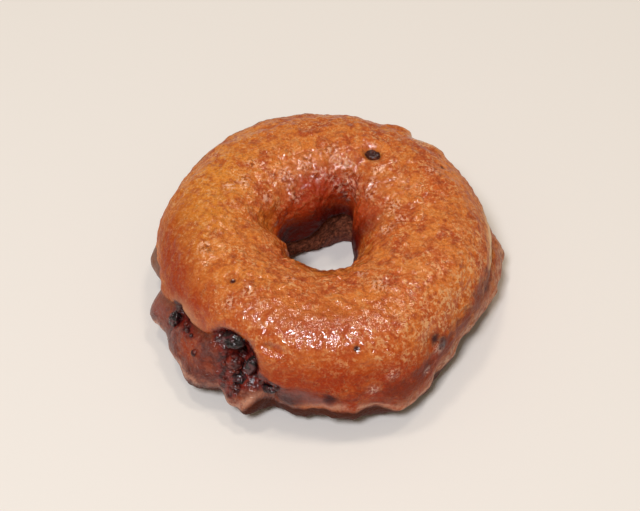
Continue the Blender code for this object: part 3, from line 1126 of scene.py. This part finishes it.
def add_crust():
    azimuth, tube = crust_grid()
    radius = crust_radius(azimuth, tube)
    coarse = place(azimuth, tube, radius)
    points = place(azimuth, tube, radius + fine_relief(azimuth, tube, coarse, radius))
    points[..., 2] = np.maximum(points[..., 2], 0.0)
    mesh = bpy.data.meshes.new("crust")
    faces = grid_faces(ROWS_ROUND_HOLE, ROWS_ROUND_SECTION)
    mesh.from_pydata((points * MM).reshape(-1, 3).tolist(), [], faces.tolist())
    mesh.shade_smooth()
    for name, share in colour_shares(azimuth, tube, coarse, radius).items():
        attribute = mesh.attributes.new(name, "FLOAT", "POINT")
        attribute.data.foreach_set("value", share.astype(np.float32).ravel())
    crust = add_object("crust", mesh, crust_material())
    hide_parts("doughnut")


def berry_frame(azimuth, tube, turn, sunk):
    """A berry's place on the crust: Z points out of the crust and X along the berry."""
    angles = np.array([azimuth, azimuth + 1.0, azimuth]), np.array([tube, tube, tube + 1.0])
    here, beside, above = (Vector(point) for point in place(*angles, plain_section(*angles)))
    out = (beside - here).cross(above - here).normalized()
    along = (beside - here).normalized()
    along.rotate(Matrix.Rotation(np.radians(turn), 3, out))
    side = out.cross(along)
    frame_of_berry = Matrix((along, side, out)).transposed().to_4x4()
    frame_of_berry.translation = (here - out * sunk) * MM
    return frame_of_berry


BERRY_SEGMENTS = 64
BERRY_RINGS = 40
BERRY_SHRINK = 0.95
CALYX_DEPTH = 0.08

# Wrinkles of a berry's skin: how many to a berry's width, height as a share of that width
BERRY_WRINKLES = ((4.0, 0.2), (9.0, 0.1))


def finished_mesh(name, shape):
    """A smooth mesh from a shape under work."""
    mesh = bpy.data.meshes.new(name)
    shape.to_mesh(mesh)
    shape.free()
    mesh.shade_smooth()
    return mesh


def berry_mesh(name, sizes):
    """An oval berry with a star-shaped dimple at its end and a wrinkled skin."""
    shape = bmesh.new()
    bmesh.ops.create_uvsphere(shape, u_segments=BERRY_SEGMENTS, v_segments=BERRY_RINGS, radius=0.5)
    seed = Vector((len(name), sum(sizes), 2.0))
    for vertex in shape.verts:
        turn = np.arctan2(vertex.co.y, vertex.co.x)
        from_end = np.hypot(vertex.co.x, vertex.co.y) / 0.5
        star = CALYX_WIDTH + CALYX_POINT_LENGTH * np.cos(CALYX_POINTS * turn)
        wrinkle = sum(height * noise.noise(vertex.co * count + seed) for count, height in BERRY_WRINKLES)
        vertex.co *= BERRY_SHRINK + wrinkle
        if vertex.co.z > 0 and from_end < star:
            vertex.co.z -= CALYX_DEPTH * smooth_step(1.0 - from_end / star)
        vertex.co = Vector([part * size * MM for part, size in zip(vertex.co, sizes)])
    return finished_mesh(name, shape)


def add_berries():
    dark = berry_material("dark_berry", "berry", "berry flesh")
    burst = berry_material("burst_berry", "burst berry", "burst flesh")
    dry = berry_material("dry_berry", "dry berry", "dry flesh")
    finishes = {"blueberry_red": burst, "blueberry_top": dry}
    for name, azimuth, tube, length, width, depth, turn, sunk in BERRIES:
        mesh = berry_mesh("fine_" + name, (length, width, depth))
        mesh.transform(berry_frame(azimuth, tube, turn, sunk))
        berry = add_object("fine_" + name, mesh, finishes.get(name, dark))
        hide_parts(name)


# Beads of juice and glaze: azimuth, tube angle, width
BEADS = (
    (208, 9, 1.3),
    (212, 9, 1.1),
    (214.5, 8, 1.3),
    (217, 8, 1.0),
    (221.5, -1, 1.7),
    (231, 29, 1.4),
    (236, 27, 1.8),
    (238.5, 24, 1.5),
    (240, 8, 1.4),
    (242, 3, 1.2),
    (245, 3, 1.5),
    (247.5, 4, 1.3),
    (253, 3, 1.5),
    (238, -2, 1.2),
    (232.5, 4, 1.4),
    (240, -9, 1.2),
)

# Fields of strewn beads: azimuth, tube angle, half-width round the hole and round the section, count
BEAD_FIELDS = (
    (238.5, 11, 2.8, 6.5, 24),
    (234.5, 27, 2.8, 3.0, 8),
    (237, -7, 2.2, 3.5, 6),
    (206, 0, 1.5, 4.0, 4),
)
BEAD_SEED = 5
BEAD_REACH = 1.5
SMALLEST_BEAD = 0.5
LARGEST_BEAD = 1.2
BEAD_LIFT = 0.1
BEAD_LUMPS = 0.35
BEAD_LUMPS_TO_WIDTH = 1.6


def bead_places():
    """The listed beads, and smaller ones strewn over the tear's fields."""
    chance = np.random.RandomState(BEAD_SEED)
    places = list(BEADS)
    for middle, level, across, around, count in BEAD_FIELDS:
        for _ in range(count):
            shift = chance.uniform(-BEAD_REACH, BEAD_REACH, 2)
            width = chance.uniform(SMALLEST_BEAD, LARGEST_BEAD)
            places.append((middle + across * shift[0], level + around * shift[1], width))
    return places


def add_beads():
    """Small wet beads in the tear, joined into one piece."""
    shape = bmesh.new()
    for index, (azimuth, tube, width) in enumerate(bead_places()):
        angles = np.array([float(azimuth)]), np.array([tube % 360.0])
        middle = Vector(place(*angles, crust_radius(*angles) + BEAD_LIFT * width)[0])
        made = bmesh.ops.create_uvsphere(shape, u_segments=16, v_segments=10, radius=0.5 * width)
        for vertex in made["verts"]:
            lump = noise.noise(vertex.co * BEAD_LUMPS_TO_WIDTH / width + Vector((index, 0.0, 0.0)))
            vertex.co = (vertex.co * (1.0 + BEAD_LUMPS * lump) + middle) * MM
    juice = berry_material("juice", "bead", "pale bead")
    add_object("juice_beads", finished_mesh("juice_beads", shape), juice)


# The studio: a floor, three square lights aimed at the part and a warm room, in metres and watts
FLOOR_SIZE = 6.0
FLOOR_ROUGHNESS = 0.8
ROOM_COLOUR = (1.0, 0.84, 0.62, 1.0)
ROOM_STRENGTH = 0.27
LIGHT_DISTANCE = 1.2

# Lights: name, azimuth, slope above the floor, size, power, colour
LIGHTS = (
    ("key", 249, 61, 0.22, 8.8, (0.97, 1.0, 1.06)),
    ("lamp_right", 30, 76, 0.13, 1.8, (1.0, 0.9, 0.76)),
    ("lamp_left", 150, 78, 0.13, 1.8, (1.0, 0.9, 0.76)),
)


def add_floor():
    bpy.ops.mesh.primitive_plane_add(size=FLOOR_SIZE)
    floor = bpy.context.object
    floor.name = "floor"
    n = Nodes("pale_floor")
    n.set(Base_Color=paint("floor"), Roughness=FLOOR_ROUGHNESS)
    floor.data.materials.append(n.material)


def add_light(name, azimuth, slope, size, power, colour):
    data = bpy.data.lights.new(name, "AREA")
    data.size = size
    data.energy = power
    data.color = colour
    light = bpy.data.objects.new(name, data)
    bpy.context.scene.collection.objects.link(light)
    turn = np.radians(azimuth)
    rise = np.radians(slope)
    towards = Vector((np.cos(turn) * np.cos(rise), np.sin(turn) * np.cos(rise), np.sin(rise)))
    light.location = towards * LIGHT_DISTANCE
    light.rotation_euler = towards.to_track_quat("Z", "Y").to_euler()


def add_room():
    """The light that comes from all round."""
    world = bpy.data.worlds.new("studio")
    world.use_nodes = True
    background = world.node_tree.nodes["Background"]
    background.inputs["Color"].default_value = ROOM_COLOUR
    background.inputs["Strength"].default_value = ROOM_STRENGTH
    bpy.context.scene.world = world
    bpy.context.scene.view_settings.view_transform = "Standard"


def add_camera():
    data = bpy.data.cameras.new("camera")
    data.lens = CAMERA_LENS
    data.sensor_width = SENSOR_WIDTH
    data.sensor_fit = "HORIZONTAL"
    camera = bpy.data.objects.new("camera", data)
    bpy.context.scene.collection.objects.link(camera)
    slope = np.radians(CAMERA_SLOPE)
    back = Vector((0.0, -np.cos(slope), np.sin(slope)))
    camera.location = (Vector(CAMERA_AIM) + back * CAMERA_DISTANCE) * MM
    camera.rotation_euler = back.to_track_quat("Z", "Y").to_euler()
    bpy.context.scene.camera = camera


add_crust()
add_berries()
add_beads()
add_floor()
for light_settings in LIGHTS:
    add_light(*light_settings)
add_room()
add_camera()
